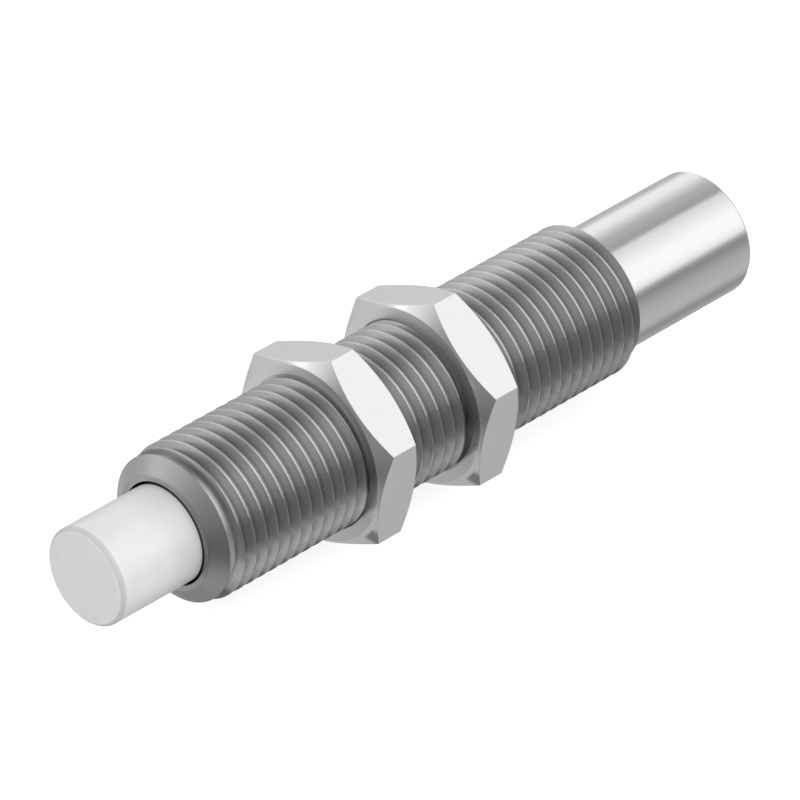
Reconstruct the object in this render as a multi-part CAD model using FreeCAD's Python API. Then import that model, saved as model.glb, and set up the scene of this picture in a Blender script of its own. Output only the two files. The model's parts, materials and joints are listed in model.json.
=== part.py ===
import FreeCAD, Part
import math
import os

from FreeCAD import Vector as V

os.makedirs("parts", exist_ok=True)

# ---------------------------------------------------------------- dimensions
# All lengths in millimetres. X is the axis of the absorber, the front (impact)
# end points to -X, Z is up. Positions along X are counted from a datum plane that
# lies front_x before the stop face, the flat ring at the front end of the threaded
# housing. Each solid moves by -front_x when it is saved, so the origin of the
# saved parts is the centre of the stop face. At rest the rod is fully out.

thread_d = 16.0  # nominal thread diameter
pitch = 1.5  # thread pitch, right-hand
thread_depth = 0.613 * pitch
crest_share = 0.125  # crest width as a share of the pitch
root_share = 0.25
thread_phase = 174.55  # angle of the crest at x = 0, from +Y towards +Z

front_x = 0.43  # stop face
housing_l = 58.35  # rear end of the threaded housing
stop_r = 5.9  # outer radius of the flat stop face
chamfer_x = 1.89  # where the front chamfer reaches the crest radius
rear_chamfer = 0.15
relief_x = 2.175  # centre of the ring groove in which the thread starts
relief_depth = 0.05  # how much deeper than the thread it is
cap_bore_r = 5.35
cap_bore_l = 13.8
main_bore_r = 6.25

tail_d = 13.3  # smooth rear cylinder
tail_end = 76.15
tail_edge = 0.35
spigot_front = 45.0
spigot_bore_r = 5.5
plug_bore_front = 70.9
plug_bore_r = 5.6

stroke = 10.3
cap_r = 5.1
cap_out = 9.95  # how far the cap stands out of the datum plane at rest
cap_in = 3.1
cap_fillet = 0.55

rod_r = 2.0
running_fit = 0.03  # radial clearance of sliding fits

nut_af = 19.0  # across flats
nut_t = 5.0
nut_front_x = 19.78
nut_rear_x = 33.88
nut_bore_r = thread_d / 2 + 0.04
nut_sink_r = 8.1
nut_chamfer_r = 9.25  # radius of the chamfer circle on the faces

tube_r = 4.9  # metering tube
tube_bore_r = 4.2
tube_front = 32.5
tube_rear = 70.9

piston_front = 34.0
piston_l = 6.0
neck_r = 1.4
neck_l = 3.0

ball_r = 1.0
ball_play = 0.3

spring_mean_r = 3.4
spring_wire_r = 0.45

crest_r = thread_d / 2
root_r = crest_r - thread_depth
axis_o, axis_x = V(0, 0, 0), V(1, 0, 0)


# ------------------------------------------------------------------- helpers
def revolve(profile):
    """Solid of revolution about X from a closed list of (x, radius)."""
    pts = [V(x, r, 0) for x, r in profile]
    pts.append(pts[0])
    face = Part.Face(Part.Wire([Part.makeLine(a, b) for a, b in zip(pts[:-1], pts[1:])]))
    return face.revolve(axis_o, axis_x, 360)


def rod(r, x0, x1):
    return Part.makeCylinder(r, x1 - x0, V(x0, 0, 0), axis_x)


def tube(ro, ri, x0, x1):
    return revolve([(x0, ri), (x0, ro), (x1, ro), (x1, ri)])


def radial(r, x, deg, r0, r1):
    """Cylinder on a radius of the absorber, at the angle deg from +Y towards +Z."""
    a = math.radians(deg)
    d = V(0, math.cos(a), math.sin(a))
    return Part.makeCylinder(r, r1 - r0, V(x, 0, 0) + d * r0, d)


def axial(r, at_r, deg, x0, x1):
    a = math.radians(deg)
    return Part.makeCylinder(
        r, x1 - x0, V(x0, at_r * math.cos(a), at_r * math.sin(a)), axis_x
    )


def hexagon(af, x0, x1, corner_deg=0.0):
    rc = af / math.sqrt(3)
    pts = [
        V(
            x0,
            rc * math.cos(math.radians(corner_deg + 60 * k)),
            rc * math.sin(math.radians(corner_deg + 60 * k)),
        )
        for k in range(7)
    ]
    return Part.Face(Part.makePolygon(pts)).extrude(V(x1 - x0, 0, 0))


def one_solid(shape):
    solids = shape.Solids
    assert len(solids) == 1, len(solids)
    return solids[0]


def save(shape, name):
    assert shape.isValid(), name
    shape.translated(V(-front_x, 0, 0)).exportStep("parts/" + name + ".step")


# --------------------------------------------------------- threaded housing
# The thread's crest, root and flanks are ruled strips between helices. They are
# cut square at the middle of the relief groove and at the rear end of the
# housing and closed with flat caps. The front end, with its chamfer and the front
# half of the relief groove, is turned and joined on before the bore is taken out.
def helix(offset, r, turn, part, parts):
    """One part of one turn of a helix that starts at the given x offset."""
    a0 = 2 * math.pi * (turn + part / parts)
    a1 = 2 * math.pi * (turn + (part + 1) / parts)
    phase = math.radians(thread_phase)
    lead = pitch / (2 * math.pi)
    n = 12
    angles = [a0 + (a1 - a0) * i / n for i in range(n + 1)]
    curve = Part.BSplineCurve()
    curve.interpolate(
        Points=[
            V(offset + lead * a, r * math.cos(phase + a), r * math.sin(phase + a))
            for a in angles
        ],
        Parameters=angles,
        Tangents=[
            V(lead, -r * math.sin(phase + a), r * math.cos(phase + a)) for a in angles
        ],
        TangentFlags=[True] * (n + 1),
        Scale=False,
    )
    return curve.toShape()


half_crest, half_root = crest_share * pitch / 2, root_share * pitch / 2
corners = [
    (-half_crest, crest_r),
    (half_crest, crest_r),
    (pitch / 2 - half_root, root_r),
    (pitch / 2 + half_root, root_r),
    (pitch - half_crest, crest_r),
]
strips = []
for turn in range(-2, int(housing_l / pitch) + 3):
    for part in range(2):
        edges = [helix(o, r, turn, part, 2) for o, r in corners]
        for e0, e1 in zip(edges[:-1], edges[1:]):
            strips.append(Part.makeRuledSurface(e0, e1))
shell = Part.makeShell(strips)
shell.sewShape()
thread_l = housing_l - relief_x
open_shell = shell.common(Part.makeBox(thread_l, 40, 40, V(relief_x, -20, -20)))

count, edge_of = {}, {}
for f in open_shell.Faces:
    for e in f.Edges:
        key = e.hashCode()
        count[key] = count.get(key, 0) + 1
        edge_of[key] = e
rims = [edge_of[key] for key, n in count.items() if n == 1]
caps = []
for x in (relief_x, housing_l):
    ring = [
        e
        for e in rims
        if abs(e.BoundBox.XMin - x) < 1e-3 and abs(e.BoundBox.XMax - x) < 1e-3
    ]
    caps.append(Part.Face(Part.Wire(Part.__sortEdges__(ring))))
shell = Part.makeShell(open_shell.Faces + caps)
shell.sewShape()
blank = Part.makeSolid(shell)
if blank.Volume < 0:
    blank.reverse()
blank = one_solid(
    blank.common(
        revolve(
            [
                (relief_x - 1, 0),
                (relief_x - 1, crest_r + 2),
                (housing_l - rear_chamfer - 2, crest_r + 2),
                (housing_l + 1, crest_r - rear_chamfer - 1),
                (housing_l + 1, 0),
            ]
        )
    )
)
relief_r = root_r - relief_depth
slope = math.tan(math.radians(30))
blank = one_solid(
    blank.cut(
        revolve(
            [
                (relief_x - 1, relief_r),
                (relief_x + half_root, relief_r),
                (relief_x + half_root + slope * (crest_r + 1 - relief_r), crest_r + 1),
                (relief_x - 1, crest_r + 1),
            ]
        )
    )
)
# where the chamfer meets the front flank of the relief groove
rise = (crest_r - stop_r) / (chamfer_x - front_x)
flank_x = relief_x - half_root
edge_x = (relief_r + flank_x / slope - stop_r + rise * front_x) / (rise + 1 / slope)
edge_r = stop_r + rise * (edge_x - front_x)
front = revolve(
    [
        (front_x, 0),
        (front_x, stop_r),
        (edge_x, edge_r),
        (flank_x, relief_r),
        (relief_x, relief_r),
        (relief_x, 0),
    ]
)
blank = one_solid(blank.fuse(front).removeSplitter())
housing = blank.cut(
    revolve(
        [
            (-1, 0),
            (-1, cap_bore_r),
            (cap_bore_l, cap_bore_r),
            (cap_bore_l, main_bore_r),
            (housing_l + 1, main_bore_r),
            (housing_l + 1, 0),
        ]
    )
)
housing = one_solid(housing)
save(housing, "threaded_housing")

# ------------------------------------------------------------- rear cylinder
tail_r = tail_d / 2
tail = revolve(
    [
        (spigot_front, spigot_bore_r),
        (spigot_front, main_bore_r - 0.3),
        (spigot_front + 0.3, main_bore_r),
        (housing_l, main_bore_r),
        (housing_l, tail_r - 0.12),
        (housing_l + 0.12, tail_r),
        (tail_end - tail_edge, tail_r),
        (tail_end - 0.13, tail_r - 0.13),
        (tail_end, tail_r - tail_edge),
        (tail_end, plug_bore_r + 0.2),
        (tail_end - 0.2, plug_bore_r),
        (75.25, plug_bore_r),
        (75.25, 6.0),
        (74.6, 6.0),
        (74.6, plug_bore_r),
        (plug_bore_front, plug_bore_r),
        (plug_bore_front, spigot_bore_r),
    ]
)
groove = tube(main_bore_r + 1, 5.85, 48.0, 49.3)
tail = one_solid(tail.cut(groove))
save(tail, "rear_cylinder")
save(tube(main_bore_r, 5.85, 48.05, 49.25), "joint_o_ring")


# ----------------------------------------------------------------- lock nuts
def lock_nut(x0):
    x1 = x0 + nut_t
    body = hexagon(nut_af, x0, x1)
    top = nut_af / math.sqrt(3) + 1.0
    rise = (top - nut_chamfer_r) * math.tan(math.radians(30))
    body = body.common(
        revolve(
            [
                (x0, 0),
                (x0, nut_chamfer_r),
                (x0 + rise, top),
                (x1 - rise, top),
                (x1, nut_chamfer_r),
                (x1, 0),
            ]
        )
    )
    sink = nut_sink_r - nut_bore_r
    return one_solid(
        body.cut(
            revolve(
                [
                    (x0 - 1, 0),
                    (x0 - 1, nut_sink_r),
                    (x0, nut_sink_r),
                    (x0 + sink, nut_bore_r),
                    (x1 - sink, nut_bore_r),
                    (x1, nut_sink_r),
                    (x1 + 1, nut_sink_r),
                    (x1 + 1, 0),
                ]
            )
        )
    )


save(lock_nut(nut_front_x), "lock_nut_front")
save(lock_nut(nut_rear_x), "lock_nut_rear")

# ---------------------------------------------------------------- buffer cap
cap = rod(cap_r, -cap_out, cap_in)
edge = [
    e
    for e in cap.Edges
    if isinstance(e.Curve, Part.Circle) and abs(e.CenterOfMass.x + cap_out) < 1e-6
]
cap = cap.makeFillet(cap_fillet, edge)
cap = cap.cut(rod(rod_r, -5.0, cap_in + 1))
cap = one_solid(cap.cut(tube(4.1, 2.9, 0.0, cap_in + 1)))
save(cap, "buffer_cap")

# ---------------------------------------------------- rod, piston and valve
piston_rear = piston_front + piston_l
rod_neck = piston_front + neck_l
save(
    revolve(
        [
            (-5.0, 0),
            (-5.0, rod_r - 0.3),
            (-4.7, rod_r),
            (piston_front, rod_r),
            (piston_front, neck_r),
            (rod_neck - 0.2, neck_r),
            (rod_neck, neck_r - 0.2),
            (rod_neck, 0),
        ]
    ),
    "piston_rod",
)
piston_r = tube_bore_r - running_fit
seat_x = 38.15  # where the cone of the valve seat ends
seat_r = 0.6  # radius of the passage in front of the seat
piston = revolve(
    [
        (piston_front, neck_r),
        (piston_front, piston_r - 0.25),
        (piston_front + 0.25, piston_r),
        (35.2, piston_r),
        (35.2, 3.55),
        (36.2, 3.55),
        (36.2, piston_r),
        (piston_rear - 0.2, piston_r),
        (piston_rear, piston_r - 0.2),
        (piston_rear, 2.0),
        (39.5, 2.0),
        (39.5, 1.4),
        (seat_x, 1.4),
        (seat_x - (1.4 - seat_r), seat_r),
        (rod_neck, seat_r),
        (rod_neck, neck_r),
    ]
)
for k in range(4):
    piston = piston.cut(axial(0.4, 2.6, 45 + 90 * k, piston_front - 1, 37.2))
    piston = piston.cut(radial(0.3, 37.2, 45 + 90 * k, 0, 2.9))
piston = one_solid(piston)
save(piston, "piston")
save(tube(tube_bore_r - 0.012, 3.6, 35.25, 36.15), "piston_ring")

# the ball rests on the cone; 45 degree cone, so its centre is known exactly
ball_x = seat_x - 1.4 + ball_r * math.sqrt(2) + 0.02
save(Part.makeSphere(ball_r, V(ball_x, 0, 0)), "check_ball")
keeper_x = 39.5
assert keeper_x - (ball_x + ball_r) > ball_play
keeper = tube(2.0, 0.7, keeper_x, piston_rear)
keeper = keeper.cut(Part.makeBox(2, 0.5, 3.0, V(39.0, -0.25, -1.5)))
keeper = keeper.cut(Part.makeBox(2, 3.0, 0.5, V(39.0, -1.5, -0.25)))
save(one_solid(keeper), "ball_retainer")

# ------------------------------------------------------- guide and its seals
guide = revolve(
    [
        (cap_bore_l, 3.4),
        (cap_bore_l, main_bore_r),
        (16.6, main_bore_r),
        (16.6, 5.35),
        (17.9, 5.35),
        (17.9, main_bore_r),
        (23.0, main_bore_r),
        (23.0, 3.7),
        (20.2, 3.7),
        (20.2, rod_r + running_fit),
        (15.6, rod_r + running_fit),
        (15.6, 3.4),
    ]
)
save(guide, "rod_guide")
save(tube(main_bore_r, 5.35, 16.65, 17.85), "guide_o_ring")
save(
    revolve(
        [
            (14.0, rod_r + 0.03),
            (14.0, rod_r + 0.2),
            (14.7, 2.75),
            (14.7, 3.4),
            (15.6, 3.4),
            (15.6, 2.5),
            (15.1, 2.35),
        ]
    ),
    "wiper_ring",
)
save(
    revolve(
        [
            (20.2, rod_r + 0.12),
            (20.2, 3.7),
            (22.9, 3.7),
            (22.9, 3.35),
            (21.6, 3.05),
            (21.6, 2.75),
            (22.9, 2.35),
            (22.9, rod_r + 0.03),
        ]
    ),
    "rod_seal",
)
save(tube(main_bore_r, 2.4, 23.0, 23.9), "seal_washer")
save(tube(6.15, 3.1, 23.9, 31.6), "accumulator_foam")
washer = tube(main_bore_r, 2.4, 31.6, tube_front)
for k in range(4):
    washer = washer.cut(axial(0.5, 3.3, 90 * k, 31.0, 33.0))
    washer = washer.cut(axial(0.4, 5.6, 45 + 90 * k, 31.0, 33.0))
save(one_solid(washer), "tube_washer")

# ------------------------------------------------------------- metering tube
metering = tube(tube_r, tube_bore_r, tube_front, tube_rear)
for k, x in enumerate([41.3, 43.0, 44.6, 46.1, 47.5, 48.8]):
    metering = metering.cut(radial(0.35, x, 90, tube_bore_r - 1, tube_r + 1))
for k in range(4):
    metering = metering.cut(radial(0.5, 33.2, 45 + 90 * k, tube_bore_r - 1, tube_r + 1))
    metering = metering.cut(radial(0.6, 66.0, 45 + 90 * k, tube_bore_r - 1, tube_r + 1))
save(one_solid(metering), "metering_tube")

# ------------------------------------------------------------- return spring
spring_front = piston_rear
spring_rear = 69.0
closed = 2 * spring_wire_r * 1.02
active = (spring_rear - spring_front) - 2 * closed - 2 * spring_wire_r


coils = 9.0
pts = []
n_per = 24
x = spring_front + spring_wire_r
total = int((coils + 2) * n_per)
for i in range(total + 1):
    t = i / n_per
    if t <= 1:
        xx = closed * t
    elif t >= coils + 1:
        xx = closed + active + closed * (t - coils - 1)
    else:
        xx = closed + active * (t - 1) / coils
    a = 2 * math.pi * t
    pts.append(V(x + xx, spring_mean_r * math.cos(a), spring_mean_r * math.sin(a)))
path = Part.BSplineCurve()
path.interpolate(pts)
ring = Part.Wire(
    [Part.makeCircle(spring_wire_r, pts[0], V(closed, 0, 2 * math.pi * spring_mean_r))]
)
wire_path = Part.Wire([path.toShape()])
spring = Part.BRepOffsetAPI.MakePipeShell(wire_path)
spring.setFrenetMode(True)
spring.add(ring, False, False)
spring.build()
spring.makeSolid()
save(one_solid(spring.shape()), "return_spring")
save(
    revolve(
        [
            (spring_rear, 0),
            (67.6, 0),
            (67.6, 2.3),
            (68.0, 2.7),
            (spring_rear, 2.7),
            (spring_rear, tube_bore_r - 0.1),
            (69.9, tube_bore_r - 0.1),
            (69.9, 0),
        ]
    ).cut(rod(0.9, 67.0, 70.5)),
    "spring_seat",
)

# ------------------------------------------------- base plug and fill screw
plug = revolve(
    [
        (69.9, 1.5),
        (69.9, tube_bore_r),
        (tube_rear, tube_bore_r),
        (tube_rear, plug_bore_r),
        (71.9, plug_bore_r),
        (71.9, 4.85),
        (73.2, 4.85),
        (73.2, plug_bore_r),
        (74.6, plug_bore_r),
        (74.6, 3.0),
        (74.4, 2.8),
        (73.0, 2.8),
        (73.0, 1.5),
    ]
)
save(plug, "base_plug")
save(tube(plug_bore_r, 4.85, 71.95, 73.15), "plug_o_ring")
save(tube(2.7, 1.55, 73.0, 73.35), "fill_screw_seal")
screw = revolve(
    [
        (70.3, 0),
        (70.3, 1.3),
        (70.5, 1.5),
        (73.35, 1.5),
        (73.35, 2.6),
        (74.8, 2.6),
        (75.0, 2.4),
        (75.0, 0),
    ]
)
screw = screw.cut(hexagon(2.0, 73.7, 76.0, 30.0))
screw = screw.cut(revolve([(74.75, 0), (75.05, 1.35), (75.2, 1.35), (75.2, 0)]))
save(one_solid(screw), "fill_screw")

# retaining ring: open snap ring with two eyes
snap = tube(5.98, 4.85, 74.62, 75.22)
snap = snap.fuse(
    [axial(0.75, 4.6, 90 + s * 16, 74.62, 75.22) for s in (-1, 1)]
)
snap = snap.cut(
    Part.makeBox(2, 1.1, 4.0, V(74.0, -0.55, 3.0))
)
for s in (-1, 1):
    snap = snap.cut(axial(0.38, 4.6, 90 + s * 16, 74.0, 76.0))
save(one_solid(snap.removeSplitter()), "retaining_ring")
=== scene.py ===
import json
import math

import bpy
from mathutils import Matrix, Vector


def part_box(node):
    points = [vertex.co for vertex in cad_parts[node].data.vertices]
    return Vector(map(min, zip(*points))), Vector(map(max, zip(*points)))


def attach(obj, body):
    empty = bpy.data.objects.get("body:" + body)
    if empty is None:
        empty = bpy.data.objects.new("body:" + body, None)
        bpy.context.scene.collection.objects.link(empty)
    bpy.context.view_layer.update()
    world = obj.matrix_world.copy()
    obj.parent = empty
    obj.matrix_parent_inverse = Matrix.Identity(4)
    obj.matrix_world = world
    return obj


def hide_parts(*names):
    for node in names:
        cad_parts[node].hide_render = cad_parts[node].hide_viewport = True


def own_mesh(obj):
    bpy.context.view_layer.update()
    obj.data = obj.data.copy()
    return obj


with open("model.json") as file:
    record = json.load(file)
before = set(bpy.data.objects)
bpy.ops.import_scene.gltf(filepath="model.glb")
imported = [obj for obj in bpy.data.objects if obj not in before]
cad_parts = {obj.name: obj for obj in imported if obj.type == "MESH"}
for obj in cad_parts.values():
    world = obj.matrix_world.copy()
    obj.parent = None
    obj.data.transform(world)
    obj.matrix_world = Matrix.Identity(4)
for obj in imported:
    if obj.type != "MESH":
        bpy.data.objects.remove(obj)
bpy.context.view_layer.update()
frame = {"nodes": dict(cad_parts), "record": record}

scene = bpy.context.scene
nodes = frame["nodes"]


# ------------------------------------------------------------------ camera
# Long lens on the absorber's front, rolled to the photograph's framing.
cam_data = bpy.data.cameras.new("camera")
cam_data.sensor_width = 36.0
cam_data.lens = 315.01
cam_data.clip_start = 0.01
cam_data.clip_end = 10.0
cam = bpy.data.objects.new("camera", cam_data)
scene.collection.objects.link(cam)
scene.camera = cam

az, el, roll = (math.radians(v) for v in (50.364, 18.459, -14.59))
back = Vector((-math.cos(el) * math.cos(az), -math.cos(el) * math.sin(az), math.sin(el)))
right = Vector((0, 0, 1)).cross(back).normalized()
up = back.cross(right)
right_r = math.cos(roll) * right + math.sin(roll) * up
up_r = -math.sin(roll) * right + math.cos(roll) * up
place = (Vector((25, 0, 0)) + back * 423.846 + right_r * -0.568 + up_r * -0.234) * 0.0016
place.x -= 0.00678
cam.matrix_world = Matrix(
    (
        (right_r.x, up_r.x, back.x, place.x),
        (right_r.y, up_r.y, back.y, place.y),
        (right_r.z, up_r.z, back.z, place.z),
        (0, 0, 0, 1),
    )
)


# ------------------------------------------------------------- node helpers
class Tree:
    """Short calls for building a node tree."""

    def __init__(self, tree):
        self.t = tree
        self.t.nodes.clear()

    def new(self, kind, **props):
        n = self.t.nodes.new(kind)
        inputs = props.pop("inputs", {})
        for k, v in props.items():
            setattr(n, k, v)
        for k, v in inputs.items():
            if isinstance(v, bpy.types.NodeSocket):
                self.t.links.new(v, n.inputs[k])
            else:
                n.inputs[k].default_value = v
        return n

    def math(self, op, a, b=0.0, c=None, clamp=False):
        ins = {0: a, 1: b}
        if c is not None:
            ins[2] = c
        return self.new("ShaderNodeMath", operation=op, use_clamp=clamp, inputs=ins).outputs[0]

    def span(self, v, a, b, c, d, smooth=False):
        n = self.new(
            "ShaderNodeMapRange",
            interpolation_type="SMOOTHSTEP" if smooth else "LINEAR",
            clamp=True,
            inputs={"Value": v, "From Min": a, "From Max": b, "To Min": c, "To Max": d},
        )
        return n.outputs["Result"]

    def mix(self, fac, a, b, blend="MIX"):
        n = self.new("ShaderNodeMix", data_type="RGBA", blend_type=blend)
        for i, v in ((0, fac), (6, a), (7, b)):
            if isinstance(v, bpy.types.NodeSocket):
                self.t.links.new(v, n.inputs[i])
            else:
                n.inputs[i].default_value = v
        return n.outputs[2]

    def ramp(self, fac, stops, mode="LINEAR"):
        n = self.new("ShaderNodeValToRGB", inputs={"Fac": fac})
        n.color_ramp.interpolation = mode
        e = n.color_ramp.elements
        while len(e) > 1:
            e.remove(e[-1])
        e[0].position, e[0].color = stops[0][0], grey(stops[0][1])
        for p, v in stops[1:]:
            s = e.new(p)
            s.color = grey(v)
        return n.outputs["Color"]


def grey(v):
    return v if isinstance(v, tuple) else (v, v, v, 1.0)


def noise(t, vec, scale, detail=2.0, rough=0.5):
    return t.new(
        "ShaderNodeTexNoise",
        inputs={"Vector": vec, "Scale": scale, "Detail": detail, "Roughness": rough},
    ).outputs["Fac"]


def line_noise(t, value, scale, detail=3.0, rough=0.6):
    """Noise that changes along one coordinate only, such as turning lines."""
    return t.new(
        "ShaderNodeTexNoise",
        noise_dimensions="1D",
        inputs={"W": value, "Scale": scale, "Detail": detail, "Roughness": rough},
    ).outputs["Fac"]


# --------------------------------------------------------------- the studio
# Brightness of the studio as a function of direction. The angle runs round the
# X axis from +Y towards +Z; the second table is what the impact end faces.
world = bpy.data.worlds.new("studio")
scene.world = world
world.use_nodes = True
w = Tree(world.node_tree)
coord = w.new("ShaderNodeTexCoord")
axes = w.new("ShaderNodeSeparateXYZ", inputs={0: coord.outputs["Generated"]})
turn = w.math("ARCTAN2", axes.outputs["Z"], axes.outputs["Y"])
turn = w.math("DIVIDE", turn, 2 * math.pi)
turn = w.math("FRACT", w.math("ADD", turn, 1.0))

RING = [
    # overhead softbox between two dim gaps
    (0, 0.53), (10, 0.50), (20, 0.64), (25, 0.74), (32, 1.00), (44, 1.05), (56, 1.00), (80, 0.55),
    (108, 0.40),
    # tall window behind the camera, brightest towards its lower edge
    (113, 0.85), (140, 1.10), (152, 1.20), (176, 1.20), (188, 1.00),
    # dark table edge, then the pale table
    (196, 0.38), (203, 0.29), (224, 0.47), (250, 0.54), (264, 0.54), (274, 0.42), (285, 0.30),
    (310, 0.42), (330, 0.50), (346, 0.56), (360, 0.53),
]
ring = w.ramp(turn, [(a / 360.0, v) for a, v in RING])
FRONT = [
    # strip light high up, dim wall, black card low down, table in front
    (0, 0.72), (15, 0.70), (27, 0.76), (35, 1.60), (42, 1.05), (53, 0.90), (65, 0.80),
    (90, 0.68), (130, 0.56), (180, 0.38), (212, 0.20), (235, 0.09), (254, 0.10),
    (268, 0.31), (277, 0.36), (283, 0.56), (290, 0.56), (304, 0.56), (314, 0.64), (325, 0.76), (346, 0.78),
    (360, 0.72),
]
front = w.ramp(turn, [(a / 360.0, v) for a, v in FRONT], "EASE")
pole = w.span(axes.outputs["X"], -0.995, -0.80, 1.0, 0.0, smooth=True)
front = w.mix(pole, front, grey(0.30))
side = w.span(axes.outputs["X"], -0.45, 0.35, 0.0, 1.0, smooth=True)
studio = w.mix(side, front, ring)

path = w.new("ShaderNodeLightPath")
plain = w.mix(path.outputs["Is Camera Ray"], grey(0.72), grey(1.0))
sky = w.mix(path.outputs["Is Glossy Ray"], plain, studio)
bg = w.new("ShaderNodeBackground", inputs={"Color": sky, "Strength": 1.0})
w.new("ShaderNodeOutputWorld", inputs={"Surface": bg.outputs[0]})


def area(name, at, aim, size, power):
    d = bpy.data.lights.new(name, "AREA")
    d.shape = "DISK"
    d.size = size
    d.energy = power
    o = bpy.data.objects.new(name, d)
    o.location = at
    o.rotation_mode = "QUATERNION"
    o.rotation_quaternion = (Vector(aim) - Vector(at)).to_track_quat("-Z", "Y")
    scene.collection.objects.link(o)
    o.visible_glossy = False
    o.visible_camera = False
    return o


area("key", (-0.28, -0.69, 0.27), (0.03, 0, 0), 0.45, 2.4)

floor_mesh = bpy.data.meshes.new("floor")
s, z = 3.0, -0.00952
floor_mesh.from_pydata([(-s, -s, z), (s, -s, z), (s, s, z), (-s, s, z)], [], [(0, 1, 2, 3)])
floor = bpy.data.objects.new("floor", floor_mesh)
scene.collection.objects.link(floor)
floor_mat = bpy.data.materials.new("floor")
floor_mat.use_nodes = True
f = Tree(floor_mat.node_tree)
paper = noise(f, f.new("ShaderNodeTexCoord").outputs["Object"], 900.0, 3)
fb = f.new("ShaderNodeBsdfDiffuse", inputs={"Color": f.mix(paper, grey(0.74), grey(0.76))})
seen = f.new("ShaderNodeLightPath").outputs["Is Camera Ray"]
glow = f.new("ShaderNodeEmission", inputs={"Color": grey(1.0), "Strength": f.math("MULTIPLY", seen, 0.76)})
lit = f.new("ShaderNodeAddShader", inputs={0: fb.outputs[0], 1: glow.outputs[0]})
f.new("ShaderNodeOutputMaterial", inputs={"Surface": lit.outputs[0]})
floor_mesh.materials.append(floor_mat)
floor.visible_glossy = False


# ---------------------------------------------------------------- materials
def start(name):
    m = bpy.data.materials.new(name)
    m.use_nodes = True
    t = Tree(m.node_tree)
    c = t.new("ShaderNodeTexCoord")
    mm = t.new("ShaderNodeVectorMath", operation="SCALE", inputs={0: c.outputs["Object"], 3: 1000.0})
    p = mm.outputs[0]
    xyz = t.new("ShaderNodeSeparateXYZ", inputs={0: p})
    x, y, z = (xyz.outputs[i] for i in range(3))
    r = t.math("SQRT", t.math("ADD", t.math("MULTIPLY", y, y), t.math("MULTIPLY", z, z)))
    return m, t, p, x, y, z, r


def finish_metal(m, t, color, rough, height, bump, distance, bevel=0.0, metallic=1.0, normal=None, **sockets):
    ins = {}
    if normal is not None:
        ins["Normal"] = normal
    elif bevel:
        ins["Normal"] = t.new("ShaderNodeBevel", samples=4, inputs={"Radius": bevel}).outputs[0]
    b = t.new("ShaderNodeBump", inputs={"Strength": bump, "Distance": distance, "Height": height, **ins})
    p = t.new(
        "ShaderNodeBsdfPrincipled",
        inputs={
            "Base Color": color,
            "Metallic": metallic,
            "Roughness": rough,
            "Normal": b.outputs[0],
            **sockets,
        },
    )
    t.new("ShaderNodeOutputMaterial", inputs={"Surface": p.outputs[0]})
    return m


def shade(v, warm=0.0):
    return (v * (1 + warm), v, v * (1 - warm), 1.0)


def painted_underside(t, z, r, a, b, low):
    """Painted shade on the lowest strip of a round part: 1 above, low at the bottom."""
    down = t.math("DIVIDE", t.math("MULTIPLY", z, -1.0), t.math("MAXIMUM", r, 0.01))
    return t.ramp(t.span(down, a, b, 0.0, 1.0, smooth=True), [(0.0, 1.0), (1.0, low)])


def by_height(t, down, stops):
    """Painted light and shade by height round a part, set by measurement against the photo: -1 is the top, 1 the
    bottom.
    """
    return t.ramp(t.span(down, -1.0, 1.0, 0.0, 1.0), [((d + 1) / 2, v) for d, v in stops])


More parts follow.
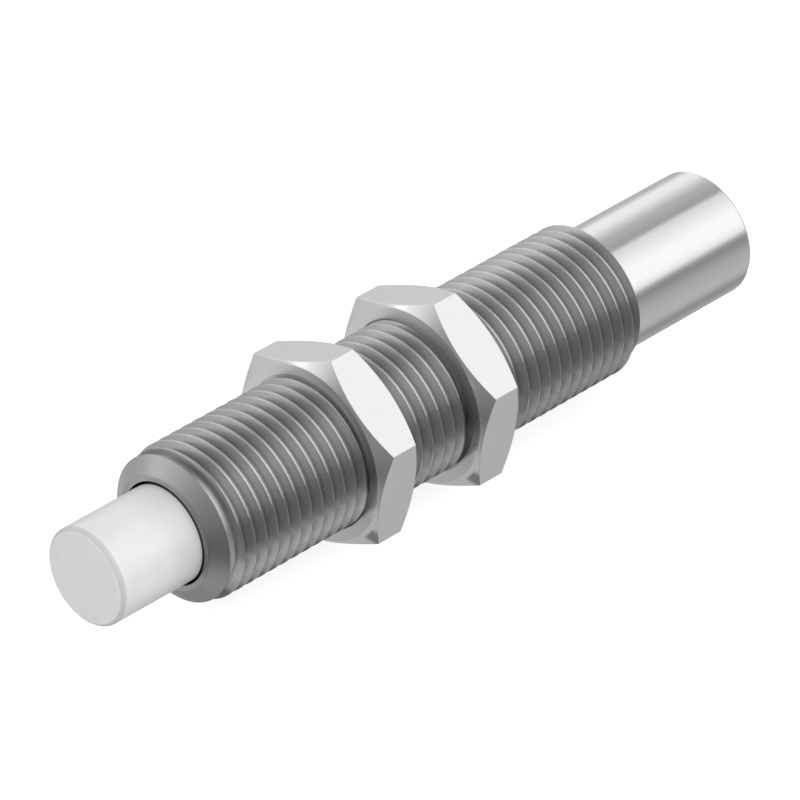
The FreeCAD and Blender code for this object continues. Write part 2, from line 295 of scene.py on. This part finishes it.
def thread_steel():
    m, t, p, x, y, z, r = start("body_steel")
    drift = noise(t, p, 0.35, 2)
    w_line = t.math("ADD", x, t.math("MULTIPLY", drift, 0.3))
    fine = line_noise(t, w_line, 22.0)
    patch = noise(t, p, 0.9, 3)
    crest = t.span(r, 7.88, 7.985, 0.0, 1.0, smooth=True)
    root_shade = t.span(r, 7.0, 7.5, 0.80, 1.0, smooth=True)
    down = t.math("DIVIDE", t.math("MULTIPLY", z, -1.0), t.math("MAXIMUM", r, 0.01))
    # painted light and shade on the crests, by height round the thread
    crest_light_shade = by_height(t, down, [(-1.0, 0.60), (-0.5, 0.60), (0.0, 0.36), (0.35, 0.36), (0.5, 0.52), (1.0, 0.58)])
    base = t.mix(crest, shade(0.50), crest_light_shade)
    base = t.mix(t.span(patch, 0.35, 0.7, 0.0, 0.25), base, shade(0.42, 0.01))
    # faint fine streaks, longer along the axis than round it
    long = t.new("ShaderNodeCombineXYZ", inputs={0: t.math("MULTIPLY", x, 0.35), 1: y, 2: z}).outputs[0]
    streak = t.span(noise(t, long, 4.5, 4, 0.65), 0.30, 0.70, 0.0, 1.0)
    base = t.mix(1.0, base, t.ramp(streak, [(0.0, 0.94), (1.0, 1.06)]), blend="MULTIPLY")
    # painted shade in the thread roots
    base = t.mix(1.0, base, t.ramp(root_shade, [(0.0, 0.0), (1.0, 1.0)]), blend="MULTIPLY")
    # painted light and shade by height on the flat front ring round the bore
    ring = t.math("MULTIPLY", t.span(r, 5.86, 5.95, 1.0, 0.0), t.span(x, 0.0, 0.05, 1.0, 0.0))
    end = by_height(t, down, [(-1.0, 0.46), (-0.4, 0.28), (0.5, 0.28), (1.0, 0.38)])
    base = t.mix(ring, base, end)
    # the front chamfer and the groove behind it are turned after the thread; the chamfer's tone by height is
    # painted light and shade
    cham = t.math("MULTIPLY", t.span(r, 5.95, 6.02, 0.0, 1.0), t.span(x, 1.20, 1.26, 1.0, 0.0))
    cone = by_height(t, down, [(-1.0, 0.44), (-0.6, 0.54), (0.0, 0.47), (0.55, 0.56), (1.0, 0.36)])
    base = t.mix(cham, base, cone)
    # painted highlight along the lower side of the groove behind the chamfer, darker above
    groove = t.math("MULTIPLY", t.span(r, 7.20, 7.30, 1.0, 0.0), t.span(x, 1.28, 1.34, 0.0, 1.0))
    groove = t.math("MULTIPLY", groove, t.span(x, 2.15, 2.20, 1.0, 0.0))
    inside = by_height(t, down, [(-1.0, 0.50), (0.0, 0.70), (0.4, 1.0), (0.75, 1.0), (1.0, 0.50)])
    base = t.mix(groove, base, inside)
    # painted shade: the first thread behind the groove is darker along its upper half
    start_at = t.math("MULTIPLY", t.span(r, 7.60, 7.78, 1.0, 0.0), t.span(x, 1.96, 2.10, 0.0, 1.0))
    start_at = t.math("MULTIPLY", start_at, t.span(x, 2.52, 2.70, 1.0, 0.0))
    upper_shade = by_height(t, down, [(-1.0, 0.50), (-0.30, 0.50), (0.0, 1.0), (1.0, 1.0)])
    base = t.mix(1.0, base, t.mix(start_at, grey(1.0), upper_shade), blend="MULTIPLY")
    # painted shade: the bore is near black
    bore = t.span(r, 5.35, 5.42, 1.0, 0.0)
    base = t.mix(bore, base, shade(0.08))
    # painted light and shade by height: a brighter band along the lower side, darker right below
    band = t.math("MULTIPLY", t.span(down, 0.36, 0.46, 0.0, 1.0), t.span(down, 0.66, 0.78, 1.0, 0.0))
    band = t.math("MULTIPLY", band, t.span(x, 1.28, 1.34, 0.0, 1.0))
    base = t.mix(1.0, base, t.mix(band, grey(1.0), grey(1.42)), blend="MULTIPLY")
    # painted light and shade by height near the front
    fore = by_height(t, down, [(-1.0, 0.90), (-0.55, 1.14), (-0.2, 1.0), (1.0, 1.0)])
    # painted light and shade by height: towards the tail the top is brighter and the lower side darker
    aft = by_height(t, down, [(-1.0, 1.03), (0.3, 1.0), (0.6, 0.76), (1.0, 0.90)])
    tone = t.mix(t.span(x, 18.0, 44.0, 0.0, 1.0, smooth=True), fore, aft)
    threads = t.span(x, 1.28, 1.34, 0.0, 1.0)
    base = t.mix(1.0, base, t.mix(threads, grey(1.0), tone), blend="MULTIPLY")
    # painted shade along the lowest strip of the thread
    base = t.mix(1.0, base, t.mix(threads, grey(1.0), painted_underside(t, z, r, 0.80, 0.90, 0.38)), blend="MULTIPLY")
    rough = t.math("ADD", t.span(fine, 0.3, 0.7, 0.26, 0.40), t.math("MULTIPLY", crest, -0.06))
    height = t.math("ADD", fine, t.math("MULTIPLY", noise(t, p, 9.0, 3), 0.25))
    return finish_metal(m, t, base, rough, height, 0.25, 0.00002, bevel=0.00007)


def turned_steel(name="tail_steel", tone=0.80):
    m, t, p, x, y, z, r = start(name)
    drift = noise(t, p, 0.25, 2)
    w_line = t.math("ADD", x, t.math("MULTIPLY", drift, 0.12))
    w_line = t.math("ADD", w_line, t.math("MULTIPLY", r, 0.7))
    fine = line_noise(t, w_line, 9.0, 5, 0.7)
    wide = line_noise(t, w_line, 0.8, 2)
    patch = noise(t, p, 0.6, 3)
    base = t.mix(t.span(fine, 0.3, 0.75, 0.0, 1.0), shade(tone * 0.96), shade(tone * 1.04))
    base = t.mix(t.span(patch, 0.4, 0.7, 0.0, 0.12), base, shade(tone * 0.85, 0.01))
    # painted shade along the lowest strip of the tail
    base = t.mix(1.0, base, painted_underside(t, z, r, 0.80, 0.91, 0.62), blend="MULTIPLY")
    rough = t.math("ADD", t.span(fine, 0.25, 0.75, 0.09, 0.17), t.span(wide, 0.3, 0.7, 0.0, 0.03))
    height = t.math("ADD", fine, t.math("MULTIPLY", wide, 0.3))
    return finish_metal(m, t, base, rough, height, 0.22, 0.00001, bevel=0.00005, **{"Anisotropic": 0.0})


def nut_steel():
    m, t, p, x, y, z, r = start("nut_steel")
    geo = t.new("ShaderNodeNewGeometry")
    n = t.new("ShaderNodeSeparateXYZ", inputs={0: geo.outputs["True Normal"]})
    facing = t.span(t.math("ABSOLUTE", n.outputs["X"]), 0.2, 0.6, 0.0, 1.0)
    # drawn lines along the bar on the flats, turned rings on the end faces
    drawn_vec = t.new("ShaderNodeCombineXYZ", inputs={0: t.math("MULTIPLY", x, 0.12), 1: y, 2: z}).outputs[0]
    drawn = noise(t, drawn_vec, 6.0, 4, 0.65)
    rings = line_noise(t, t.math("ADD", r, t.math("MULTIPLY", noise(t, p, 0.4), 0.2)), 8.0, 4)
    lines = t.mix(facing, drawn, rings)
    lines = t.new("ShaderNodeSeparateColor", inputs={0: lines}).outputs[0]
    patch = noise(t, p, 0.45, 3)
    base = t.mix(t.span(lines, 0.3, 0.7, 0.0, 1.0), shade(0.775), shade(0.80))
    base = t.mix(t.span(patch, 0.42, 0.7, 0.0, 0.10), base, shade(0.71, 0.01))
    # the turned end faces are duller than the drawn flats
    base = t.mix(1.0, base, t.mix(facing, grey(1.0), grey(0.94)), blend="MULTIPLY")
    flat = t.span(t.math("ABSOLUTE", n.outputs["X"]), 0.95, 0.99, 0.0, 1.0)
    down = t.math("DIVIDE", t.math("MULTIPLY", z, -1.0), t.math("MAXIMUM", r, 0.01))
    # painted shade on the lower part of the flat end rings, painted light on their upper near side
    low = by_height(t, down, [(-1.0, 1.0), (0.45, 1.0), (0.72, 0.56), (1.0, 0.66)])
    side = t.math("DIVIDE", y, t.math("MAXIMUM", r, 0.01))
    ring_top_light = t.ramp(t.span(side, -1.0, 0.0, 0.0, 1.0), [(0.0, 1.0), (0.6, 1.24), (1.0, 1.0)])
    ring_top_light = t.mix(t.span(down, -0.2, 0.1, 0.0, 1.0), ring_top_light, grey(1.0))
    low = t.mix(1.0, low, ring_top_light, blend="MULTIPLY")
    base = t.mix(1.0, base, t.mix(flat, grey(1.0), low), blend="MULTIPLY")
    # painted dark reflection: a darker spot at the lowest corners of the chamfer, as the photo shows
    corner = t.math("MULTIPLY", t.span(r, 9.55, 9.85, 0.0, 1.0, smooth=True), t.span(down, 0.76, 0.82, 0.0, 1.0, smooth=True))
    corner = t.math("MULTIPLY", corner, t.span(down, 0.86, 0.90, 1.0, 0.0, smooth=True))
    cone = t.math("MULTIPLY", facing, t.math("SUBTRACT", 1.0, flat))
    spot = t.math("MULTIPLY", t.math("MULTIPLY", corner, cone), 0.72)
    base = t.mix(spot, base, shade(0.10))
    more = t.span(down, -0.1, 0.4, 0.22, 0.06)
    rough = t.math("ADD", t.span(lines, 0.3, 0.7, 0.13, 0.19), t.math("MULTIPLY", flat, more))
    height = t.math("ADD", lines, t.math("MULTIPLY", noise(t, p, 5.0, 3), 0.2))
    # the end faces are turned very slightly hollow towards the bore
    out = t.new("ShaderNodeCombineXYZ", inputs={0: 0.0, 1: t.math("DIVIDE", y, r), 2: t.math("DIVIDE", z, r)})
    soft = t.new("ShaderNodeBevel", samples=4, inputs={"Radius": 0.00012}).outputs[0]
    dome = t.new("ShaderNodeVectorMath", operation="SCALE", inputs={0: out.outputs[0], 3: t.math("MULTIPLY", flat, 0.04)})
    tilt = t.new("ShaderNodeVectorMath", operation="ADD", inputs={0: soft, 1: dome.outputs[0]})
    tilt = t.new("ShaderNodeVectorMath", operation="NORMALIZE", inputs={0: tilt.outputs[0]})
    return finish_metal(m, t, base, rough, height, 0.10, 0.00001, normal=tilt.outputs[0])


def white_plastic():
    m, t, p, x, y, z, r = start("white_plastic")
    grain = noise(t, p, 14.0, 3, 0.6)
    patch = noise(t, p, 0.5, 3)
    base = t.mix(t.span(patch, 0.35, 0.7, 0.0, 1.0), shade(0.83, -0.004), shade(0.80, 0.004))
    # darker towards the bore and at the rim; the part inside the bore is painted shade, near black
    base = t.mix(1.0, base, t.ramp(t.span(x, -5.5, -0.8, 0.0, 1.0, smooth=True), [(0.0, 1.0), (1.0, 0.86)]), blend="MULTIPLY")
    rim = t.math("MULTIPLY", t.span(r, 4.66, 4.84, 0.0, 1.0, smooth=True), t.span(x, -9.95, -9.80, 1.0, 0.0))
    base = t.mix(1.0, base, t.mix(rim, grey(1.0), grey(0.74)), blend="MULTIPLY")
    # painted shade: the front face is a little darker
    face = t.math("MULTIPLY", t.span(x, -10.37, -10.33, 1.0, 0.0), t.span(r, 4.5, 4.66, 1.0, 0.0, smooth=True))
    base = t.mix(1.0, base, t.mix(face, grey(1.0), grey(0.962)), blend="MULTIPLY")
    # painted shade: the cap inside the bore is near black
    base = t.mix(t.span(x, -0.10, 0.02, 0.0, 1.0, smooth=True), base, shade(0.08))
    rough = t.span(grain, 0.3, 0.7, 0.32, 0.42)
    return finish_metal(
        m, t, base, rough, grain, 0.10, 0.00002, bevel=0.00005, metallic=0.0,
        **{"IOR": 1.58, "Specular IOR Level": 0.9, "Subsurface Weight": 0.08, "Subsurface Scale": 0.0004},
    )


def simple(name, tone, metallic, rough_lo, rough_hi, scale, bump=0.2, warm=0.0, tint=None):
    m, t, p, x, y, z, r = start(name)
    fine = line_noise(t, t.math("ADD", x, t.math("MULTIPLY", r, 0.6)), scale)
    patch = noise(t, p, 1.2, 3)
    lo = tint or shade(tone, warm)
    hi = tuple(min(1.0, c * 1.18) for c in lo[:3]) + (1.0,)
    base = t.mix(t.span(fine, 0.3, 0.7, 0.0, 1.0), lo, hi)
    base = t.mix(t.span(patch, 0.4, 0.7, 0.0, 0.3), base, tuple(c * 0.8 for c in lo[:3]) + (1.0,))
    rough = t.span(fine, 0.3, 0.7, rough_lo, rough_hi)
    return finish_metal(m, t, base, rough, fine, bump, 0.00001, metallic=metallic)


MATS = {
    "body_steel": thread_steel(),
    "tail_steel": turned_steel(),
    "nut_steel": nut_steel(),
    "white_plastic": white_plastic(),
    "hard_chrome": simple("hard_chrome", 0.78, 1.0, 0.06, 0.12, 10.0, 0.08),
    "bearing_bronze": simple("bearing_bronze", 0.6, 1.0, 0.25, 0.38, 8.0, tint=(0.62, 0.43, 0.20, 1)),
    "seal_rubber": simple("seal_rubber", 0.025, 0.0, 0.55, 0.75, 6.0, 0.3),
    "plain_steel": simple("plain_steel", 0.56, 1.0, 0.22, 0.34, 8.0),
    "foam": simple("foam", 0.05, 0.0, 0.8, 0.95, 5.0, 0.6),
    "ring_plastic": simple("ring_plastic", 0.3, 0.0, 0.4, 0.55, 6.0, tint=(0.30, 0.22, 0.12, 1)),
    "ball_steel": simple("ball_steel", 0.8, 1.0, 0.04, 0.09, 8.0, 0.03),
    "spring_steel": simple("spring_steel", 0.30, 1.0, 0.28, 0.42, 8.0),
    "plug_aluminium": simple("plug_aluminium", 0.72, 1.0, 0.20, 0.32, 9.0),
    "screw_steel": simple("screw_steel", 0.20, 1.0, 0.30, 0.44, 8.0),
}

slot_of = {s["node"]: s["material_slot"] for s in frame["record"]["subparts"]}
for name, obj in nodes.items():
    mesh = obj.data
    mesh.materials.clear()
    mesh.materials.append(MATS[slot_of[name]])
    mesh.polygons.foreach_set("use_smooth", [True] * len(mesh.polygons))
    mesh.polygons.foreach_set("material_index", [0] * len(mesh.polygons))
    mesh.set_sharp_from_angle(angle=math.radians(25))

# --------------------------------------------------------------- nut threads
# The thread inside each lock nut, in mesh with the housing's, ends at the nut's faces.
PITCH, CREST_R, DEPTH = 1.5, 8.0, 0.9195
CREST_AT, CREST_ANGLE = -0.43, math.radians(174.55)


def nut_thread(name, node, body):
    lo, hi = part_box(node)
    x0, x1 = lo.x * 1000 + 0.03, hi.x * 1000 - 0.03
    turns, steps = 240, 54

    def inner(xx, ang):
        d = (xx - CREST_AT - PITCH * (ang - CREST_ANGLE) / (2 * math.pi)) / PITCH
        d = abs(d - round(d)) * PITCH
        share = min(1.0, max(0.0, (d - 0.094) / 0.469))
        return max(CREST_R - DEPTH * share + 0.10, 7.24)

    verts, faces = [], []
    for j in range(turns):
        ang = 2 * math.pi * j / turns
        ring = [(x0 + (x1 - x0) * i / steps, inner(x0 + (x1 - x0) * i / steps, ang)) for i in range(steps + 1)]
        ring += [(x1, 8.4), (x0, 8.4)]
        verts += [(a / 1000, b * math.cos(ang) / 1000, b * math.sin(ang) / 1000) for a, b in ring]
    n = steps + 3
    for j in range(turns):
        a, b = j * n, ((j + 1) % turns) * n
        for i in range(n):
            k = (i + 1) % n
            faces.append((a + i, a + k, b + k, b + i))
    mesh = bpy.data.meshes.new(name)
    mesh.from_pydata(verts, [], faces)
    mesh.materials.append(MATS["nut_steel"])
    mesh.polygons.foreach_set("use_smooth", [True] * len(mesh.polygons))
    mesh.set_sharp_from_angle(angle=math.radians(25))
    o = bpy.data.objects.new(name, mesh)
    scene.collection.objects.link(o)
    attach(o, body)


nut_thread("lock_nut_front_thread", "lock_nut_front", "nut_front")
nut_thread("lock_nut_rear_thread", "lock_nut_rear", "nut_rear")

# -------------------------------------------------------------------- spring
# The return spring is drawn as a piece of its own, a copy of the CAD spring fixed to the housing.
cad_spring = nodes["return_spring"]
spring = bpy.data.objects.new("return_spring_coil", cad_spring.data.copy())
scene.collection.objects.link(spring)
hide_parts("return_spring")
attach(spring, "housing")
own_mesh(spring)

scene.view_settings.view_transform = "Standard"
scene.view_settings.look = "None"
scene.view_settings.exposure = 0.0
scene.view_settings.gamma = 1.0
